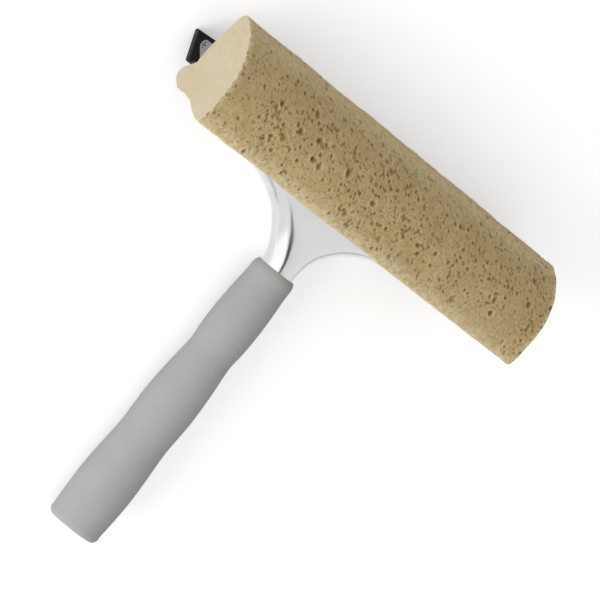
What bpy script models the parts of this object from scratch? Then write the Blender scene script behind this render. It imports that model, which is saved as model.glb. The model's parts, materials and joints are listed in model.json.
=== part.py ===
"""Window squeegee with a sponge and a rubber blade, lying on its back with the sponge up.

X runs along the head, Y runs up the handle towards the head, and Z is up.
The whole tool hangs on one empty. Its origin is on the handle's axis, level with the line
where the neck goes under the sponge. Below, "rise" is a height above that axis and
"reach" is a distance from that line towards the head.
"""

import math

import bmesh
import bpy
from mathutils import Matrix, Vector

# Fits
CLEARANCE = 0.0003
CUT_OVERRUN = 0.004

# Head as a whole
HEAD_LENGTH = 0.2525
SPONGE_OVERHANG = 0.005
BLADE_SETBACK = 0.0008

# Handle: tube, foam grip, plug and pin
NECK_LENGTH = 0.0312
GRIP_LENGTH = 0.158
GRIP_WALL = 0.0055
GRIP_WALL_SHARES = (
    (0.0, 0.34), (0.06, 0.46), (0.13, 0.6), (0.2, 0.655), (0.27, 0.6), (0.32, 0.48),
    (0.37, 0.58), (0.43, 0.73), (0.52, 0.845), (0.59, 0.8), (0.65, 0.745), (0.71, 0.84),
    (0.78, 0.96), (0.84, 1.0), (0.91, 0.94), (0.97, 0.84), (1.0, 0.79),
)
GRIP_EDGE_ROUND = 0.0014
GRIP_RINGS = 44
TUBE_RADIUS = 0.009
TUBE_WALL = 0.0014
TANG_LENGTH = 0.048
STEM_SEAT = 0.0065
PIN_RADIUS = 0.0015
PIN_SETBACK = 0.03
PLUG_FLANGE = 0.0028
PLUG_DEPTH = 0.014
PLUG_CHAMFER = 0.0008

# Neck casting
PANEL_CUT = 0.0015
PANEL_ROUND = 0.0045
WING_HALF = 0.056
WING_CORNER = 0.0025
WING_TOP_MARGIN = 0.003
NECK_TAPER_SHARE = 0.3
NECK_DIP = 0.0024
NECK_DIP_LENGTH = 0.018
FLARE_DROP = 0.006
FLARE_SHARES = ((0.036, 0.64), (0.28, 0.835))
WALL_SPREAD_SHARES = (
    (0.0, 1.0), (0.14, 1.3), (0.3, 1.5), (0.46, 1.4), (0.65, 0.9), (0.82, 0.4), (1.0, 0.2),
)
EDGE_SPREAD_SHARES = (
    (0.0, 1.0), (0.14, 1.3), (0.3, 1.5), (0.46, 1.42), (0.65, 1.3), (0.82, 0.95), (1.0, 0.45),
)
FLARE_STEPS = 14
SECTION_LOW_DEGREES = -80
SECTION_STEP_DEGREES = 12

# Rail: sponge channel, web and blade tongue
RAIL_FOOT = 0.0096
RAIL_STEP = 0.0004
RAIL_WALL = 0.0015
FLOOR_THICK = 0.0018
CHANNEL_WIDTH = 0.0088
CHANNEL_DEPTH = 0.0052
LIP_REACH = 0.002
LIP_THICK = 0.0015
WEB_THICK = 0.003
WEB_REACH = 0.0127
TONGUE_WIDTH = 0.0093
TONGUE_UNDERCUT = 0.0012
TONGUE_NECK = 0.002
BEAD_RADIUS = 0.0026
BEAD_SETBACK = 0.0062
BEAD_FROM_DEGREES = 215
BEAD_TO_DEGREES = 360
BEAD_STEPS = 8
PORT_RADIUS = 0.0016

# Blade
BLADE_ARM = 0.002
BLADE_TOP_FALL = 0.0008
BLADE_FACET = 0.001
BLADE_TUCK = 0.001
BLADE_HEEL = 0.0018
LEG_DROP = 0.0095
LEG_SHARES = ((0.6, 0.42), (0.52, 0.67), (0.66, 1.0))

# Sponge and its backing strip
SPONGE_HEIGHT = 0.0543
SPONGE_DEPTH = 0.0304
SPONGE_SHARES = (
    (0.15, 0.0), (0.152, 0.075), (0.153, 0.282), (0.13, 0.461), (0.08, 0.616), (0.05, 0.753),
    (0.04, 0.856), (0.058, 0.922), (0.09, 0.945), (0.25, 0.985), (0.376, 1.0), (0.502, 0.985),
    (0.618, 0.93), (0.735, 0.83), (0.842, 0.69), (0.923, 0.53), (0.973, 0.38), (1.0, 0.259),
    (0.991, 0.207), (0.806, 0.089), (0.615, 0.019), (0.52, 0.0),
)
BULGE_WIDTH = 0.0146
BULGE_DEPTH = 0.0063
BULGE_SHARES = (
    (0.0, 0.0), (0.04, 0.12), (0.1, 0.36), (0.17, 0.6), (0.26, 0.84), (0.36, 0.97), (0.46, 1.0),
    (0.56, 0.98), (0.66, 0.84), (0.75, 0.62), (0.86, 0.38), (0.95, 0.18), (1.0, 0.1), (1.0, 0.0),
)
BULGE_ROOT = 0.003
STRIP_THICK = 0.0017
STRIP_SETBACK = 0.009

# Screws
SCREW_RADIUS = 0.0018
SCREW_HEAD_RADIUS = 0.0036
SCREW_HEAD_THICK = 0.0015
SCREW_LENGTH = 0.0078
SCREW_SPREAD_SHARE = 0.75
SCREW_RECESS = 0.0008
SCREW_RECESS_RADIUS = 0.0016
GRUB_RADIUS = 0.0013
GRUB_LENGTH = 0.008
GRUB_SOCKET_RADIUS = 0.0007
GRUB_SOCKET_DEPTH = 0.0015
GRUB_INSET = 0.0003

# Places that follow from the sizes
BORE_RADIUS = TUBE_RADIUS + CLEARANCE
AXIS_HEIGHT = BORE_RADIUS + GRIP_WALL
GRIP_MOUTH = -NECK_LENGTH
GRIP_END = GRIP_MOUTH - GRIP_LENGTH
STEM_END = GRIP_MOUTH - STEM_SEAT
TUBE_TOP = STEM_END - CLEARANCE
TUBE_BOTTOM = GRIP_END + PLUG_FLANGE + CLEARANCE
TUBE_INNER = TUBE_RADIUS - TUBE_WALL
CORE_RADIUS = TUBE_INNER - CLEARANCE
HEAD_REACH = (GRIP_LENGTH + NECK_LENGTH - SPONGE_HEIGHT) / 2

PANEL_RISE = TUBE_RADIUS - PANEL_CUT
PANEL_HALF = math.sqrt(TUBE_RADIUS ** 2 - PANEL_RISE ** 2)
WIDEST_SPREAD = TUBE_RADIUS - PANEL_HALF

RAIL_HALF = HEAD_LENGTH / 2 - SPONGE_OVERHANG
RAIL_FRONT = PANEL_RISE + RAIL_STEP
CHANNEL_LOW = RAIL_FOOT + RAIL_WALL
CHANNEL_HIGH = CHANNEL_LOW + CHANNEL_WIDTH
CHANNEL_TOP = CHANNEL_HIGH + RAIL_WALL
FLOOR_FACE = RAIL_FRONT - CHANNEL_DEPTH
FLOOR_BACK = FLOOR_FACE - FLOOR_THICK
LIP_BACK = RAIL_FRONT - LIP_THICK
WEB_BACK = RAIL_FRONT - WEB_THICK
WEB_TOP = CHANNEL_TOP + WEB_REACH
SHOULDER_RISE = WEB_BACK - TONGUE_NECK
BEAD_RISE = WEB_BACK - BEAD_SETBACK
BEAD_REACH = WEB_TOP - BEAD_RADIUS

SADDLE_FACE = FLOOR_BACK - CLEARANCE
SADDLE_FOOT = RAIL_FOOT - CLEARANCE
WING_TOP = CHANNEL_TOP - WING_TOP_MARGIN
SPONGE_BACK = RAIL_FRONT + CLEARANCE
SCREW_REACH = (CHANNEL_LOW + CHANNEL_HIGH) / 2
SCREW_SPACING = WING_HALF * SCREW_SPREAD_SHARE

ROUND_SEGMENTS = 32
SMALL_SEGMENTS = 16
SHARP_ANGLE = math.radians(35)

ALONG_X = Matrix.Rotation(math.pi / 2, 4, "Y")
ALONG_Y = Matrix.Rotation(-math.pi / 2, 4, "X")


def material(name, colour, roughness, metallic=0.0):
    """A plain Principled material."""
    mat = bpy.data.materials.new(name)
    mat.use_nodes = True
    shader = mat.node_tree.nodes["Principled BSDF"]
    shader.inputs["Base Color"].default_value = (*colour, 1.0)
    shader.inputs["Roughness"].default_value = roughness
    shader.inputs["Metallic"].default_value = metallic
    return mat


def add_object(name, bm, mat, parent, origin=(0.0, 0.0, 0.0)):
    """Turn a bmesh, given in the parent's frame, into an object with its origin at origin."""
    bmesh.ops.translate(bm, verts=bm.verts, vec=-Vector(origin))
    bmesh.ops.recalc_face_normals(bm, faces=bm.faces)
    mesh = bpy.data.meshes.new(name)
    bm.to_mesh(mesh)
    bm.free()
    mesh.shade_smooth()
    mesh.set_sharp_from_angle(angle=SHARP_ANGLE)
    if mat:
        mesh.materials.append(mat)
    obj = bpy.data.objects.new(name, mesh)
    obj.location = origin
    obj.parent = parent
    bpy.context.scene.collection.objects.link(obj)
    return obj


def add_empty(name, parent, location):
    """An empty that carries other objects."""
    empty = bpy.data.objects.new(name, None)
    empty.location = location
    empty.parent = parent
    bpy.context.scene.collection.objects.link(empty)
    return empty


def boolean(target, tool, operation):
    """Cut target with a hidden tool, or join the tool to it."""
    tool.hide_render = True
    tool.display_type = "WIRE"
    step = target.modifiers.new(tool.name, "BOOLEAN")
    step.operation = operation
    step.solver = "EXACT"
    step.object = tool


def skin(bm, rings, closed):
    """Join a row of rings of vertices with faces."""
    for low, high in zip(rings, rings[1:]):
        for i in range(len(low) if closed else len(low) - 1):
            j = (i + 1) % len(low)
            bm.faces.new((low[i], low[j], high[j], high[i]))


def cap_and_skin(bm, rings):
    """Skin a row of closed rings of vertices and cap both ends."""
    skin(bm, rings, True)
    bm.faces.new(rings[0])
    bm.faces.new(list(reversed(rings[-1])))


def prism(outline, start, end):
    """Extrude an outline of (reach, rise) points along X."""
    bm = bmesh.new()
    rings = [[bm.verts.new((x, y, z)) for y, z in outline] for x in (start, end)]
    cap_and_skin(bm, rings)
    return bm


def turned(profile, segments=ROUND_SEGMENTS):
    """Spin a closed profile of (radius, reach) points about the handle's axis."""
    bm = bmesh.new()
    rings = []
    for radius, reach in profile:
        ring = []
        for k in range(segments):
            angle = 2 * math.pi * k / segments
            ring.append(bm.verts.new((radius * math.cos(angle), reach, radius * math.sin(angle))))
        rings.append(ring)
    for low, high in zip(rings, rings[1:] + rings[:1]):
        for k in range(segments):
            m = (k + 1) % segments
            bm.faces.new((low[k], low[m], high[m], high[k]))
    return bm


def rod(stations, turn, place, segments=SMALL_SEGMENTS):
    """A round solid through (distance, radius) stations, turned from Z and put at place."""
    bm = bmesh.new()
    rings = []
    for distance, radius in stations:
        ring = []
        for k in range(segments):
            angle = 2 * math.pi * k / segments
            ring.append(bm.verts.new((radius * math.cos(angle), radius * math.sin(angle), distance)))
        rings.append(ring)
    cap_and_skin(bm, rings)
    bmesh.ops.transform(bm, verts=bm.verts, matrix=Matrix.Translation(place) @ turn)
    return bm


def box(low, high):
    """A box between two corners."""
    bm = bmesh.new()
    bmesh.ops.create_cube(bm, size=1.0)
    for vert in bm.verts:
        vert.co = [b if c > 0 else a for a, b, c in zip(low, high, vert.co)]
    return bm


def smooth_between(shares, x):
    """Value at x on a smooth curve through a row of (place, value) shares."""
    last = len(shares) - 1
    k = 0
    while k < last - 1 and x > shares[k + 1][0]:
        k += 1
    slopes = []
    for m in (k, k + 1):
        a = shares[max(m - 1, 0)]
        b = shares[min(m + 1, last)]
        slopes.append((b[1] - a[1]) / (b[0] - a[0]))
    (x0, y0), (x1, y1) = shares[k], shares[k + 1]
    width = x1 - x0
    t = (x - x0) / width
    return (
        y0 * (1 + 2 * t) * (1 - t) ** 2
        + slopes[0] * width * t * (1 - t) ** 2
        + y1 * t ** 2 * (3 - 2 * t)
        + slopes[1] * width * t ** 2 * (t - 1)
    )


def offset_line(points, distance):
    """Move an open line of points sideways, to its right, with mitred corners."""
    normals = []
    for (y0, z0), (y1, z1) in zip(points, points[1:]):
        length = math.hypot(y1 - y0, z1 - z0)
        normals.append(((z1 - z0) / length, (y0 - y1) / length))
    moved = []
    for k, (y, z) in enumerate(points):
        before = normals[max(k - 1, 0)]
        after = normals[min(k, len(normals) - 1)]
        grow = 1 + before[0] * after[0] + before[1] * after[1]
        moved.append((
            y + distance * (before[0] + after[0]) / grow,
            z + distance * (before[1] + after[1]) / grow,
        ))
    return moved


def at_rise(a, b, rise):
    """Point of the line a-b at a given rise."""
    share = (rise - a[1]) / (b[1] - a[1])
    return (a[0] + share * (b[0] - a[0]), rise)


def tongue_line():
    """Outline of the blade tongue, from its lower root round the bead to its upper root."""
    low = WEB_TOP - TONGUE_WIDTH
    line = [(low + TONGUE_UNDERCUT, WEB_BACK), (low, SHOULDER_RISE)]
    for k in range(BEAD_STEPS + 1):
        degrees = BEAD_FROM_DEGREES + (BEAD_TO_DEGREES - BEAD_FROM_DEGREES) * k / BEAD_STEPS
        angle = math.radians(degrees)
        line.append((
            BEAD_REACH + BEAD_RADIUS * math.cos(angle),
            BEAD_RISE + BEAD_RADIUS * math.sin(angle),
        ))
    line.append((WEB_TOP, SHOULDER_RISE))
    line.append((WEB_TOP - TONGUE_UNDERCUT, WEB_BACK))
    return line


def flare_points():
    """Right side of the neck panel: (x, reach, normal x, normal reach, wall share, edge share)."""
    points = [(PANEL_HALF, STEM_END, 1.0, 0.0, 1.0, 1.0)]
    top = SADDLE_FOOT - FLARE_DROP
    width = WING_HALF - PANEL_HALF
    height = top - GRIP_MOUTH
    corners = [(PANEL_HALF, GRIP_MOUTH)]
    corners += [(PANEL_HALF + width * a, GRIP_MOUTH + height * b) for a, b in FLARE_SHARES]
    corners += [(WING_HALF, top)]
    for k in range(FLARE_STEPS + 1):
        t = k / FLARE_STEPS
        s = 1 - t
        weights = (s ** 3, 3 * s * s * t, 3 * s * t * t, t ** 3)
        x, y = (sum(w * c[i] for w, c in zip(weights, corners)) for i in (0, 1))
        tilts = (s * s, 2 * s * t, t * t)
        legs = [(b[0] - a[0], b[1] - a[1]) for a, b in zip(corners, corners[1:])]
        dx, dy = (sum(w * leg[i] for w, leg in zip(tilts, legs)) for i in (0, 1))
        length = math.hypot(dx, dy)
        shares = (smooth_between(WALL_SPREAD_SHARES, t), smooth_between(EDGE_SPREAD_SHARES, t))
        points.append((x, y, dy / length, -dx / length, *shares))
    wing_shares = (WALL_SPREAD_SHARES[-1][1], EDGE_SPREAD_SHARES[-1][1])
    for middle, start in ((top + WING_CORNER, -60), (WING_TOP - WING_CORNER, 0)):
        for degrees in (start, start + 30, start + 60):
            nx, ny = math.cos(math.radians(degrees)), math.sin(math.radians(degrees))
            points.append((WING_HALF + WING_CORNER * nx, middle + WING_CORNER * ny, nx, ny, *wing_shares))
    points.append((WING_HALF, WING_TOP, 0.0, 1.0, *wing_shares))
    return points


def neck_dip(reach):
    """How far the casting has sunk below the handle's axis at a given reach."""
    t = min(max((reach - GRIP_MOUTH) / NECK_DIP_LENGTH, 0.0), 1.0)
    return NECK_DIP * t * t * (3 - 2 * t)


def neck_levels():
    """Rise and outward spread of the neck's section: a round edge, then the round side."""
    middle_rise = PANEL_RISE - PANEL_ROUND
    middle_spread = math.sqrt((TUBE_RADIUS - PANEL_ROUND) ** 2 - middle_rise ** 2)
    join = math.degrees(math.atan2(middle_rise, middle_spread))
    arcs = (
        (PANEL_ROUND, middle_rise, middle_spread - PANEL_HALF, 90, join),
        (TUBE_RADIUS, 0.0, -PANEL_HALF, join, SECTION_LOW_DEGREES),
    )
    levels = [(PANEL_RISE, middle_spread - PANEL_HALF)]
    for radius, rise, spread, start, end in arcs:
        steps = round((start - end) / SECTION_STEP_DEGREES)
        for k in range(1, steps + 1):
            angle = math.radians(start + (end - start) * k / steps)
            levels.append((rise + radius * math.sin(angle), spread + radius * math.cos(angle)))
    return levels


def neck_body():
    """The casting's drafted body, as rings from the flat front panel to the back."""
    side = flare_points()
    loop = side + [(-x, y, -nx, ny, *shares) for x, y, nx, ny, *shares in reversed(side)]
    bm = bmesh.new()
    rings = []
    length = WING_TOP - STEM_END
    for rise, spread in neck_levels():
        ring = []
        for x, y, nx, ny, wall_share, edge_share in loop:
            inward_share = edge_share if rise > 0 else wall_share
            out = WIDEST_SPREAD * wall_share + (spread - WIDEST_SPREAD) * inward_share
            place_x = x + nx * out
            place_y = y + ny * out
            taper = 1 - NECK_TAPER_SHARE * (place_y - STEM_END) / length if rise < 0 else 1
            ring.append(bm.verts.new((place_x, place_y, rise * taper - neck_dip(place_y))))
        rings.append(ring)
    skin(bm, rings, False)
    bm.faces.new([ring[0] for ring in rings] + [ring[-1] for ring in reversed(rings)])
    for ring in (rings[0], rings[-1]):
        for i in range(len(side) - 1):
            bm.faces.new((ring[i], ring[i + 1], ring[-2 - i], ring[-1 - i]))
    return bm


def rail_outline():
    """Section of the rail: sponge channel, web and blade tongue."""
    line = [
        (RAIL_FOOT, RAIL_FRONT),
        (CHANNEL_LOW + LIP_REACH, RAIL_FRONT),
        (CHANNEL_LOW + LIP_REACH, LIP_BACK),
        (CHANNEL_LOW, LIP_BACK),
        (CHANNEL_LOW, FLOOR_FACE),
        (CHANNEL_HIGH, FLOOR_FACE),
        (CHANNEL_HIGH, LIP_BACK),
        (CHANNEL_HIGH - LIP_REACH, LIP_BACK),
        (CHANNEL_HIGH - LIP_REACH, RAIL_FRONT),
        (WEB_TOP, RAIL_FRONT),
        (WEB_TOP, WEB_BACK),
    ]
    line += list(reversed(tongue_line()))
    line += [
        (CHANNEL_TOP, WEB_BACK),
        (CHANNEL_TOP, FLOOR_BACK),
        (RAIL_FOOT, FLOOR_BACK),
    ]
    return line


def blade_outline():
    """Section of the rubber: a wedge that wraps the rail's tongue."""
    front = WEB_BACK - CLEARANCE
    top = WEB_TOP + CLEARANCE + BLADE_ARM
    foot = CHANNEL_TOP - BLADE_TUCK
    heel_rise = WEB_BACK - LEG_DROP
    inner = offset_line(tongue_line(), CLEARANCE)
    inner[0] = at_rise(inner[0], inner[1], front)
    inner[-1] = at_rise(inner[-1], inner[-2], front)
    low = WEB_TOP - TONGUE_WIDTH - CLEARANCE
    leg = [(foot + (low - foot) * a, heel_rise + (front - heel_rise) * b) for a, b in LEG_SHARES]
    outer = [
        (top, front),
        (top - BLADE_TOP_FALL, BLADE_FACET - AXIS_HEIGHT),
        (top - BLADE_TOP_FALL - BLADE_FACET, -AXIS_HEIGHT),
        (foot, heel_rise - BLADE_HEEL),
        (foot, heel_rise),
    ]
    return outer + leg + inner


def sponge_outline():
    """Section of the sponge, with its squeezed rib inside the channel."""
    line = [(SPONGE_HEIGHT * a, SPONGE_BACK + SPONGE_DEPTH * b) for a, b in SPONGE_SHARES]
    neck_high = CHANNEL_HIGH - LIP_REACH - CLEARANCE
    neck_low = CHANNEL_LOW + LIP_REACH + CLEARANCE
    rib_face = FLOOR_FACE + CLEARANCE + STRIP_THICK + CLEARANCE
    rib_back = LIP_BACK - CLEARANCE
    line += [
        (neck_high, SPONGE_BACK),
        (neck_high, rib_back),
        (CHANNEL_HIGH - CLEARANCE, rib_back),
        (CHANNEL_HIGH - CLEARANCE, rib_face),
        (CHANNEL_LOW + CLEARANCE, rib_face),
        (CHANNEL_LOW + CLEARANCE, rib_back),
        (neck_low, rib_back),
        (neck_low, SPONGE_BACK),
    ]
    return line


def grip_profile():
    """Profile of the foam grip: outside from mouth to end, then the bore."""
    edge = GRIP_EDGE_ROUND / GRIP_LENGTH
    profile = []
    for k in range(GRIP_RINGS + 1):
        share = edge + (1 - 2 * edge) * k / GRIP_RINGS
        wall = GRIP_WALL * smooth_between(GRIP_WALL_SHARES, share)
        profile.append((BORE_RADIUS + wall, GRIP_MOUTH - GRIP_LENGTH * share))
    mouth = (profile[0][0] - GRIP_EDGE_ROUND / 2, GRIP_MOUTH)
    end = (profile[-1][0] - GRIP_EDGE_ROUND, GRIP_END)
    return [mouth] + profile + [end, (BORE_RADIUS, GRIP_END), (BORE_RADIUS, GRIP_MOUTH)]


def build_handle(frame, metal, steel, plastic, foam):
    """Tube, cross pin, foam grip and end plug."""
    tube = add_object("handle_tube", turned([
        (TUBE_RADIUS, TUBE_TOP), (TUBE_RADIUS, TUBE_BOTTOM),
        (TUBE_INNER, TUBE_BOTTOM), (TUBE_INNER, TUBE_TOP),
    ]), metal, frame)
    pin_place = (0.0, STEM_END - PIN_SETBACK, 0.0)
    pin_half = TUBE_RADIUS - CLEARANCE
    chamfer = PIN_RADIUS / 4
    add_object("tang_pin", rod([
        (-pin_half, PIN_RADIUS - chamfer), (chamfer - pin_half, PIN_RADIUS),
        (pin_half - chamfer, PIN_RADIUS), (pin_half, PIN_RADIUS - chamfer),
    ], ALONG_X, pin_place), steel, frame)
    hole_half = TUBE_RADIUS + CUT_OVERRUN
    hole = add_object("tang_pin_hole", rod([
        (-hole_half, PIN_RADIUS + CLEARANCE), (hole_half, PIN_RADIUS + CLEARANCE),
    ], ALONG_X, pin_place), None, frame)
    boolean(tube, hole, "DIFFERENCE")
    add_object("grip_sleeve", turned(grip_profile()), foam, frame)
    depth = PLUG_FLANGE + PLUG_DEPTH
    add_object("end_plug", rod([
        (0.0, TUBE_RADIUS - PLUG_CHAMFER), (PLUG_CHAMFER, TUBE_RADIUS),
        (PLUG_FLANGE, TUBE_RADIUS), (PLUG_FLANGE, CORE_RADIUS),
        (depth - PLUG_CHAMFER, CORE_RADIUS), (depth, CORE_RADIUS - PLUG_CHAMFER),
    ], ALONG_Y, (0.0, GRIP_END, 0.0), ROUND_SEGMENTS), plastic, frame)
    return hole


def build_neck(frame, metal, pin_hole):
    """The casting, with its tang, the seat for the rail and its holes."""
    neck = add_object("neck_casting", neck_body(), metal, frame)
    tang_end = STEM_END - TANG_LENGTH
    tang = add_object("neck_tang", rod([
        (0.0, CORE_RADIUS), (TANG_LENGTH + STEM_SEAT / 2, CORE_RADIUS),
    ], ALONG_Y, (0.0, tang_end, 0.0), ROUND_SEGMENTS), None, frame)
    boolean(neck, tang, "UNION")
    span = WING_HALF + WING_CORNER + CUT_OVERRUN + TUBE_RADIUS
    seat = add_object("rail_seat", box(
        (-span, SADDLE_FOOT, SADDLE_FACE),
        (span, WING_TOP + TUBE_RADIUS + CUT_OVERRUN, RAIL_FRONT + CUT_OVERRUN),
    ), None, frame)
    boolean(neck, seat, "DIFFERENCE")
    boolean(neck, pin_hole, "DIFFERENCE")
    return neck


def build_rail(frame, metal, steel, neck):
    """The rail, its screws, which go in through holes in its lips, and the tongue's grub screws."""
    rail = add_object("head_rail", prism(rail_outline(), -RAIL_HALF, RAIL_HALF), metal, frame)
    port_half = RAIL_HALF + CUT_OVERRUN
    port = add_object("blade_port", rod([
        (-port_half, PORT_RADIUS), (port_half, PORT_RADIUS),
    ], ALONG_X, (0.0, BEAD_REACH, BEAD_RISE)), None, frame)
    boolean(rail, port, "DIFFERENCE")
    for side, sign in (("left", -1), ("right", 1)):
        start = sign * (RAIL_HALF - GRUB_INSET)
        turn = Matrix.Rotation(-sign * math.pi / 2, 4, "Y")
        grub = rod([
            (GRUB_SOCKET_DEPTH, GRUB_SOCKET_RADIUS), (0.0, GRUB_SOCKET_RADIUS),
            (0.0, GRUB_RADIUS), (GRUB_LENGTH - GRUB_RADIUS / 2, GRUB_RADIUS),
            (GRUB_LENGTH, GRUB_RADIUS / 2),
        ], turn, (start, BEAD_REACH, BEAD_RISE))
        add_object("blade_lock_screw_" + side, grub, steel, frame)
    for side, sign in (("left", -1), ("middle", 0), ("right", 1)):
        place = (sign * SCREW_SPACING, SCREW_REACH, FLOOR_FACE)
        screw = rod([
            (-SCREW_RECESS, SCREW_RECESS_RADIUS / 2), (0.0, SCREW_RECESS_RADIUS),
            (0.0, SCREW_HEAD_RADIUS), (-SCREW_HEAD_THICK, SCREW_RADIUS),
            (-SCREW_LENGTH, SCREW_RADIUS),
        ], Matrix.Identity(4), place)
        add_object("rail_screw_" + side, screw, steel, frame)
        wide = CLEARANCE * math.sqrt(2)
        hole = add_object("rail_screw_hole_" + side, rod([
            (CHANNEL_DEPTH + CUT_OVERRUN, SCREW_HEAD_RADIUS + wide),
            (0.0, SCREW_HEAD_RADIUS + wide),
            (-SCREW_HEAD_THICK, SCREW_RADIUS + wide),
            (-SCREW_LENGTH - CLEARANCE, SCREW_RADIUS + wide),
        ], Matrix.Identity(4), place), None, frame)
        boolean(rail, hole, "DIFFERENCE")
        boolean(neck, hole, "DIFFERENCE")


def build_blade(frame, rubber):
    """The rubber blade, which slides lengthwise on the rail's tongue."""
    half = RAIL_HALF - BLADE_SETBACK
    carrier = add_empty("blade_slide_axis", frame, (0.0, BEAD_REACH, BEAD_RISE))
    moved = [(y - BEAD_REACH, z - BEAD_RISE) for y, z in blade_outline()]
    add_object("rubber_blade", prism(moved, -half, half), rubber, carrier)


def build_sponge(frame, foam, plastic):
    """The sponge and its backing strip, which slide lengthwise in the rail's channel."""
    half = HEAD_LENGTH / 2
    carrier = add_empty("sponge_slide_axis", frame, (0.0, SCREW_REACH, FLOOR_FACE))
    shift = (SCREW_REACH, FLOOR_FACE)
    outline = [(y - shift[0], z - shift[1]) for y, z in sponge_outline()]
    sponge = add_object("sponge", prism(outline, -half, half), foam, carrier)
    low = SPONGE_HEIGHT * SPONGE_SHARES[0][0]
    bulge_line = [(low, SPONGE_BACK + BULGE_ROOT)]
    bulge_line += [(low + BULGE_WIDTH * a, SPONGE_BACK - BULGE_DEPTH * b) for a, b in BULGE_SHARES]
    bulge_line += [(low + BULGE_WIDTH, SPONGE_BACK + BULGE_ROOT)]
    moved = [(y - shift[0], z - shift[1]) for y, z in bulge_line]
    bulge = add_object("sponge_end_bulge", prism(moved, -half, -RAIL_HALF - CLEARANCE), None, carrier)
    boolean(sponge, bulge, "UNION")
    strip_low = CHANNEL_LOW + CLEARANCE - shift[0]
    strip_high = CHANNEL_HIGH - CLEARANCE - shift[0]
    strip_half = half - STRIP_SETBACK
    add_object("sponge_backing_strip", box(
        (-strip_half, strip_low, CLEARANCE),
        (strip_half, strip_high, CLEARANCE + STRIP_THICK),
    ), plastic, carrier)


def main():
    """Clear the scene and build the squeegee."""
    for obj in list(bpy.data.objects):
        bpy.data.objects.remove(obj, do_unlink=True)
    cast = material("polished_aluminium", (0.72, 0.72, 0.73), 0.2, 1.0)
    steel = material("zinc_plated_steel", (0.6, 0.6, 0.6), 0.35, 1.0)
    plastic = material("dark_plastic", (0.09, 0.09, 0.1), 0.5)
    grip_foam = material("grey_grip_foam", (0.42, 0.42, 0.42), 0.9)
    rubber = material("black_rubber", (0.015, 0.015, 0.016), 0.5)
    sponge_foam = material("tan_sponge", (0.5, 0.37, 0.2), 0.95)
    frame = add_empty("squeegee", None, (0.0, HEAD_REACH, AXIS_HEIGHT))
    pin_hole = build_handle(frame, cast, steel, plastic, grip_foam)
    neck = build_neck(frame, cast, pin_hole)
    build_rail(frame, cast, steel, neck)
    build_blade(frame, rubber)
    build_sponge(frame, sponge_foam, plastic)


main()
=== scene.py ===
import json
import math

import bmesh
import bpy
import numpy as np
from mathutils import Matrix, Vector, geometry, noise


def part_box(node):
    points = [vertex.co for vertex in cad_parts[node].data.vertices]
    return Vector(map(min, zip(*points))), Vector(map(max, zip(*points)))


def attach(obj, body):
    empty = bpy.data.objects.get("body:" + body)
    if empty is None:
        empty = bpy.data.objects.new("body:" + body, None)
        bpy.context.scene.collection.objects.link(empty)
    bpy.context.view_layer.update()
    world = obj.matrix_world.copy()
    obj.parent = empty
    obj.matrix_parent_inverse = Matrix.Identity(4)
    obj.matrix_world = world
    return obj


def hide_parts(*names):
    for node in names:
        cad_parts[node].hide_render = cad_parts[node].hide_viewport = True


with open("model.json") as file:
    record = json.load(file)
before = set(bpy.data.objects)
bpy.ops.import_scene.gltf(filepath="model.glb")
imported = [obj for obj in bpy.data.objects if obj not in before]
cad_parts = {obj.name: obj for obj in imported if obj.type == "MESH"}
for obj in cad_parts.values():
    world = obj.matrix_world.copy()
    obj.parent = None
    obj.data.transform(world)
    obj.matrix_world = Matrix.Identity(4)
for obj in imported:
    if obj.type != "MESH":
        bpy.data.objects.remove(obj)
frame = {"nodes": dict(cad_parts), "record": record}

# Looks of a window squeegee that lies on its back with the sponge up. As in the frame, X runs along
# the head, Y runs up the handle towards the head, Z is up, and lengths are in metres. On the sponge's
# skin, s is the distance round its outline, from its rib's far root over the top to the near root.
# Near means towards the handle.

MM = 0.001
WHITE = (1.0, 1.0, 1.0, 1.0)

# Camera, fitted to the photograph. It aims beside a base point on the handle's axis, level with the
# line where the neck goes under the sponge.
BASE_REACH = 0.06745
BASE_RISE = 0.0148
YAW = math.radians(42.0)
PITCH = math.radians(1.43)
ROLL = math.radians(38.7)
DISTANCE = 2.4
AIM_RIGHT = 0.0177
AIM_UP = -0.0352
PIXELS_PER_METRE = 2083.0
FRAME_PIXELS = 600
SENSOR_MM = 36.0

# Surroundings: strength of the light, and the parts that only reflections see, each with the
# directions that it fills and its own strength
WORLD_FILL = 0.63
GAP_TOWARDS = (0.35, 0.17)
GAP_HALF_WIDTHS = (0.2, 0.54)
GAP_EDGE = (0.55, 1.45)
GAP_LEVEL = 0.05
GLOW_ACROSS = (-0.1, 0.15)
GLOW_ALONG = (-0.9, -0.45)
GLOW_LEVEL = 1.4
DUSK_ACROSS = (0.55, 0.85)
DUSK_RISE = (0.0, 0.5)
DUSK_LEVEL = 0.5

# Lamp and floor. The lift is a glow that only the rays that show the background see.
KEY_POWER = 23.0
KEY_SIZE = 1.1
KEY_DISTANCE = 1.8
KEY_DIRECTION = (-0.85, -0.55, 0.35)
FLOOR_SIZE = 12.0
FLOOR_COLOUR = (0.92, 0.92, 0.92, 1.0)
FLOOR_LIFT = 0.35

# Mesh work
WELD = 0.02 * MM
FLAT_ANGLE = math.radians(0.5)
SMOOTH_ANGLE = math.radians(32)
CORNER_ANGLE = math.radians(58)
CURVE_STEPS = 24

# Rounded edges of the pieces that keep the solids' shapes
EDGE_SEGMENTS = 2
NECK_EDGE = 0.3 * MM
RAIL_EDGE = 0.15 * MM
BLADE_EDGE = 0.45 * MM
PLUG_EDGE = 0.15 * MM
THIN_EDGE = 0.1 * MM

# Grip
GRIP_SEGMENTS = 96
GRIP_STEP = 1.5 * MM

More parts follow.
